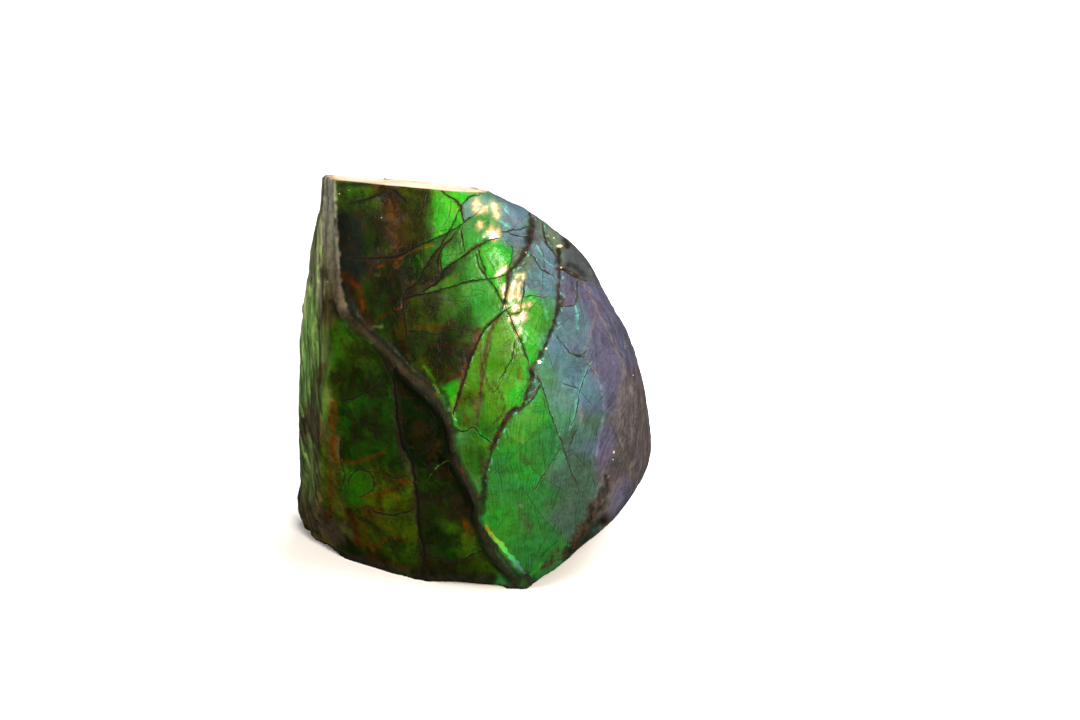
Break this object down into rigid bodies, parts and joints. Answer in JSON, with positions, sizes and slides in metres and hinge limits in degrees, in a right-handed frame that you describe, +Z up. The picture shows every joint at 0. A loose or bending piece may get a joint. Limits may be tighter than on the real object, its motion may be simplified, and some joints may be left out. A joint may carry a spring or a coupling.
{
  "type": "ammolite specimen",
  "caption": "Standing fragment of fossil ammonite shell: cracked iridescent green and violet nacre over rough ironstone, with a sawn flat top and a flat base.",
  "frame": {"origin": "middle of the bounding box on the surface it stands on", "axes": "+Z up, the nacre front faces -Y, +X to the right of the front"},
  "size_m": [0.0482, 0.0316, 0.0543],
  "materials": {
    "ammolite": "iridescent nacre plates, green turning blue and violet to the right, glossy, with brown-black cracks; matt grey-brown ironstone behind"
  },
  "bodies": {
    "root": {"ammolite_fossil": "ammolite"}
  },
  "joints": []
}
